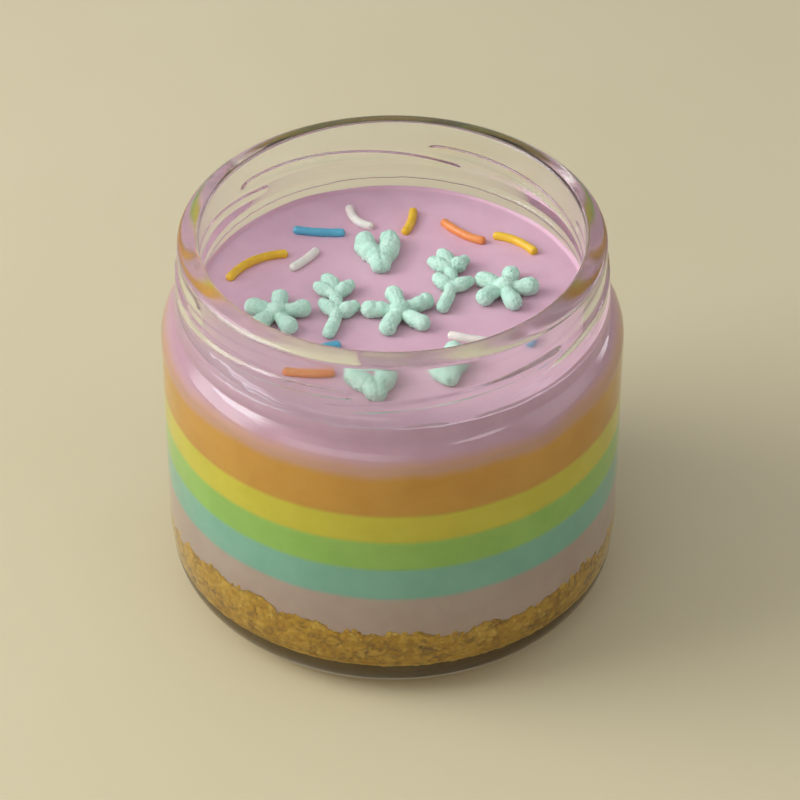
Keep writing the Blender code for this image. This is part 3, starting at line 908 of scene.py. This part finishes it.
def add_stroke(shape, route, profile, order=0):
    """One piped rope as a close row of beads along a flat route."""
    length = 0.0
    marks = [0.0]
    for start, end in zip(route, route[1:]):
        length += math.dist(start, end)
        marks.append(length)
    steps = max(2, round(length / BEAD_SPACING))
    for step in range(steps + 1):
        mark = length * step / steps
        index = max(i for i in range(len(route) - 1) if marks[i] <= mark + 1e-9)
        part = (mark - marks[index]) / (marks[index + 1] - marks[index])
        x = route[index][0] + part * (route[index + 1][0] - route[index][0])
        y = route[index][1] + part * (route[index + 1][1] - route[index][1])
        thickness = profile[index] + part * (profile[index + 1] - profile[index])
        girth = ROPE_RADIUS * thickness * (1.0 + ROPE_LUMPS * noise.noise(Vector((x, y, 0.5))))
        height = TOP_HEIGHT + ROPE_RADIUS - ROPE_SINK + ROPE_RISE * order
        matrix = Matrix.Translation((x, y, height))
        bmesh.ops.create_icosphere(shape, subdivisions=2, radius=girth, matrix=matrix)


def pipe(name, shape, material):
    """Melt the beads of an ornament into one body, and roughen it as icing sets."""
    mesh = bpy.data.meshes.new(name)
    shape.to_mesh(mesh)
    shape.free()
    blank = bpy.data.objects.new(name + "_beads", mesh)
    bpy.context.scene.collection.objects.link(blank)
    melt = blank.modifiers.new("Melt", "REMESH")
    melt.mode = "VOXEL"
    melt.voxel_size = VOXEL
    ease = blank.modifiers.new("Ease", "SMOOTH")
    ease.iterations = 3
    depsgraph = bpy.context.evaluated_depsgraph_get()
    melted = bpy.data.meshes.new_from_object(blank.evaluated_get(depsgraph))
    bpy.data.objects.remove(blank)
    body = bmesh.new()
    body.from_mesh(melted)
    body.normal_update()
    hollow_shade = body.verts.layers.float.new("hollow_shade")
    moves = []
    for corner in body.verts:
        spot = corner.co
        lump = noise.noise(spot / LUMP_SPACING) + 0.5 * noise.noise(2.0 * spot / LUMP_SPACING)
        rough = soft_step(1.8 * noise.noise(spot / 2.0 + Vector((9, 2, 4))) + 0.5)
        crag = noise.noise(spot / CRAG_SPACING) + 0.6 * noise.noise(2.0 * spot / CRAG_SPACING)
        distances, centres = noise.voronoi(spot / PIT_SPACING)
        size = 0.16 + 0.22 * noise.noise(5.3 * centres[0])
        pit = soft_step(max(0.0, 1.0 - distances[0] / max(0.05, size)))
        depth = LUMP_DEPTH * lump + (0.3 + 0.7 * rough) * CRAG_DEPTH * crag - PIT_DEPTH * pit
        # Painted shade in the pits and in the hollows between crags.
        corner[hollow_shade] = min(1.0, pit + 0.5 * rough * max(0.0, -crag))
        moves.append((corner, corner.normal * depth))
    for corner, move in moves:
        corner.co += move
    return place(name.replace("icing", "piped"), body, material, "mint_icing", name)


def make_heart(name, tip, sizes, spread, heading, material):
    """A heart of two fat strokes that meet at its tip, the right one first."""
    shape = bmesh.new()
    for order, (lean, size) in enumerate(zip((-1.0, 1.0), sizes)):
        route = [
            ahead(tip, heading + 90.0 * lean, 0.04 * size),
            ahead(tip, heading + 0.76 * spread * lean, 0.24 * size),
            ahead(tip, heading + spread * lean, 0.46 * size),
            ahead(tip, heading + spread * lean, 0.66 * size),
            ahead(tip, heading + 0.76 * spread * lean, 0.84 * size),
        ]
        add_stroke(shape, route, (1.0, 1.15, 1.28, 1.36, 1.22), order)
    return pipe(name, shape, material)


def make_flower(name, centre, reach, heading, material):
    """A flower of short petals round a raised dot."""
    shape = bmesh.new()
    for index in range(PETAL_COUNT):
        direction = heading + index * 360.0 / PETAL_COUNT
        route = [
            ahead(centre, direction, 0.18 * reach),
            ahead(centre, direction, 0.50 * reach),
            ahead(centre, direction + 4.0, 0.77 * reach),
        ]
        add_stroke(shape, route, (0.75, 1.0, 1.1), index)
    matrix = Matrix.Translation((centre[0], centre[1], TOP_HEIGHT + DOT_RADIUS))
    bmesh.ops.create_icosphere(shape, subdivisions=3, radius=DOT_RADIUS, matrix=matrix)
    return pipe(name, shape, material)


def make_sprig(name, start, heading, material):
    """A curling stem with leaves in pairs and one at its end."""
    shape = bmesh.new()
    route = [start]
    headings = [heading]
    for step in range(SPRIG_STEPS):
        turned = heading + SPRIG_CURL * (step + 0.5) / SPRIG_STEPS - SPRIG_CURL / 2
        route.append(ahead(route[-1], turned, SPRIG_LENGTH / SPRIG_STEPS))
        headings.append(turned)
    profile = [0.8] * (SPRIG_STEPS - 2) + [0.95, 1.1, 0.85]
    add_stroke(shape, route, profile)
    order = 1
    for step in LEAF_STEPS:
        for lean in (-1.0, 1.0):
            direction = headings[step] + LEAF_SPREAD * lean
            leaf = [ahead(route[step], direction, part * LEAF_REACH) for part in (0.2, 0.6, 1.0)]
            add_stroke(shape, leaf, (0.7, 1.0, 0.75), order)
            order += 1
    return pipe(name, shape, material)


def make_icing():
    """All the piped ornaments."""
    mint = icing_finish()
    for name, tip, sizes, spread, heading in HEARTS:
        make_heart(name, tip, sizes, spread, heading, mint)
    for name, centre, reach, heading in FLOWERS:
        make_flower(name, centre, reach, heading, mint)
    for name, start, heading in SPRIGS:
        make_sprig(name, start, heading, mint)


# -------------------------------------------------------------- the studio
def make_floor():
    """A plain pale table."""
    shape = bmesh.new()
    bmesh.ops.create_grid(shape, x_segments=1, y_segments=1, size=TABLE_HALF_SIZE)
    mesh = bpy.data.meshes.new("floor")
    shape.to_mesh(mesh)
    shape.free()
    material, tree, shader = start_finish("pale_table")
    mixed = place_effect(tree, MOTTLE, Colour=paint(206, 194, 160), Second=paint(201, 189, 153),
                         Scale=6.0, Amount=0.6)
    tree.links.new(mixed["Colour"], shader.inputs["Base Color"])
    shader.inputs["Roughness"].default_value = 0.8
    mesh.materials.append(material)
    floor = bpy.data.objects.new("floor", mesh)
    bpy.context.scene.collection.objects.link(floor)


def make_light(name, azimuth, elevation, distance, size, power, colour=(1.0, 1.0, 1.0), fade=0.0):
    """A soft light aimed at the jar, faded over a share of its width towards its ends."""
    lamp = bpy.data.lights.new(name, "AREA")
    lamp.shape = "RECTANGLE"
    lamp.size, lamp.size_y = size
    lamp.energy = power
    lamp.color = colour
    if fade:
        lamp.use_nodes = True
        tree = lamp.node_tree
        along = add(tree, "ShaderNodeSeparateXYZ",
                    {"Vector": add(tree, "ShaderNodeNewGeometry").outputs["Parametric"]}).outputs[0]
        off_middle = maths(tree, "ABSOLUTE", maths(tree, "SUBTRACT", along, 0.5))
        to_end = maths(tree, "SUBTRACT", 0.5, off_middle)
        eased = add(tree, "ShaderNodeMapRange", {"Value": to_end, "From Max": fade},
                    interpolation_type="SMOOTHSTEP").outputs["Result"]
        tree.links.new(eased, tree.nodes["Emission"].inputs["Strength"])
    light = bpy.data.objects.new(name, lamp)
    bpy.context.scene.collection.objects.link(light)
    around, up = math.radians(azimuth), math.radians(elevation)
    away = Vector((math.cos(around) * math.cos(up), math.sin(around) * math.cos(up), math.sin(up)))
    light.location = Vector(LIGHT_AIM) + distance * away
    light.rotation_euler = away.to_track_quat("Z", "Y").to_euler()


def make_studio():
    """Soft light from the left and above, dimmer from the front and right, and a pale room."""
    make_light("window", 186.0, 31.0, 0.75, (0.64, 0.16), 1.9, (0.94, 0.975, 1.0), 0.35)
    make_light("window_glow", 184.0, 30.0, 0.78, (0.8, 0.75), 7.5, (0.94, 0.97, 1.0), 0.3)
    make_light("ceiling", 186.0, 74.0, 0.9, (0.8, 0.8), 0.9, (1.0, 0.99, 0.98))
    make_light("room_front", -115.0, 18.0, 0.9, (1.2, 0.26), 1.4, (1.0, 0.99, 0.97), 0.3)
    make_light("room_right", -4.0, 22.0, 0.9, (0.9, 0.5), 1.4, (0.98, 0.99, 1.0), 0.3)
    make_light("second_window", -46.0, 38.0, 0.75, (0.42, 0.055), 0.25, fade=0.3)
    make_light("third_window", 33.0, 12.0, 0.75, (0.34, 0.14), 0.65, fade=0.45)
    world = bpy.data.worlds.new("room")
    bpy.context.scene.world = world
    world.use_nodes = True
    background = world.node_tree.nodes["Background"]
    background.inputs["Color"].default_value = ROOM_COLOUR
    background.inputs["Strength"].default_value = ROOM_STRENGTH


def make_camera():
    """A long lens, looking down at the jar from the front."""
    data = bpy.data.cameras.new("camera")
    data.sensor_width = 36.0
    data.lens = CAMERA_LENS
    data.clip_end = 20.0
    camera = bpy.data.objects.new("camera", data)
    bpy.context.scene.collection.objects.link(camera)
    slope = math.radians(CAMERA_ELEVATION)
    away = Vector((0.0, -math.cos(slope), math.sin(slope)))
    camera.location = Vector(CAMERA_AIM) + CAMERA_DISTANCE * away
    camera.rotation_euler = (math.pi / 2 - slope, 0.0, 0.0)
    bpy.context.scene.camera = camera


make_camera()
make_jar()
make_crumb()
make_top(make_layers())
make_strands()
make_icing()
make_floor()
make_studio()
bpy.context.scene.view_settings.view_transform = "Standard"
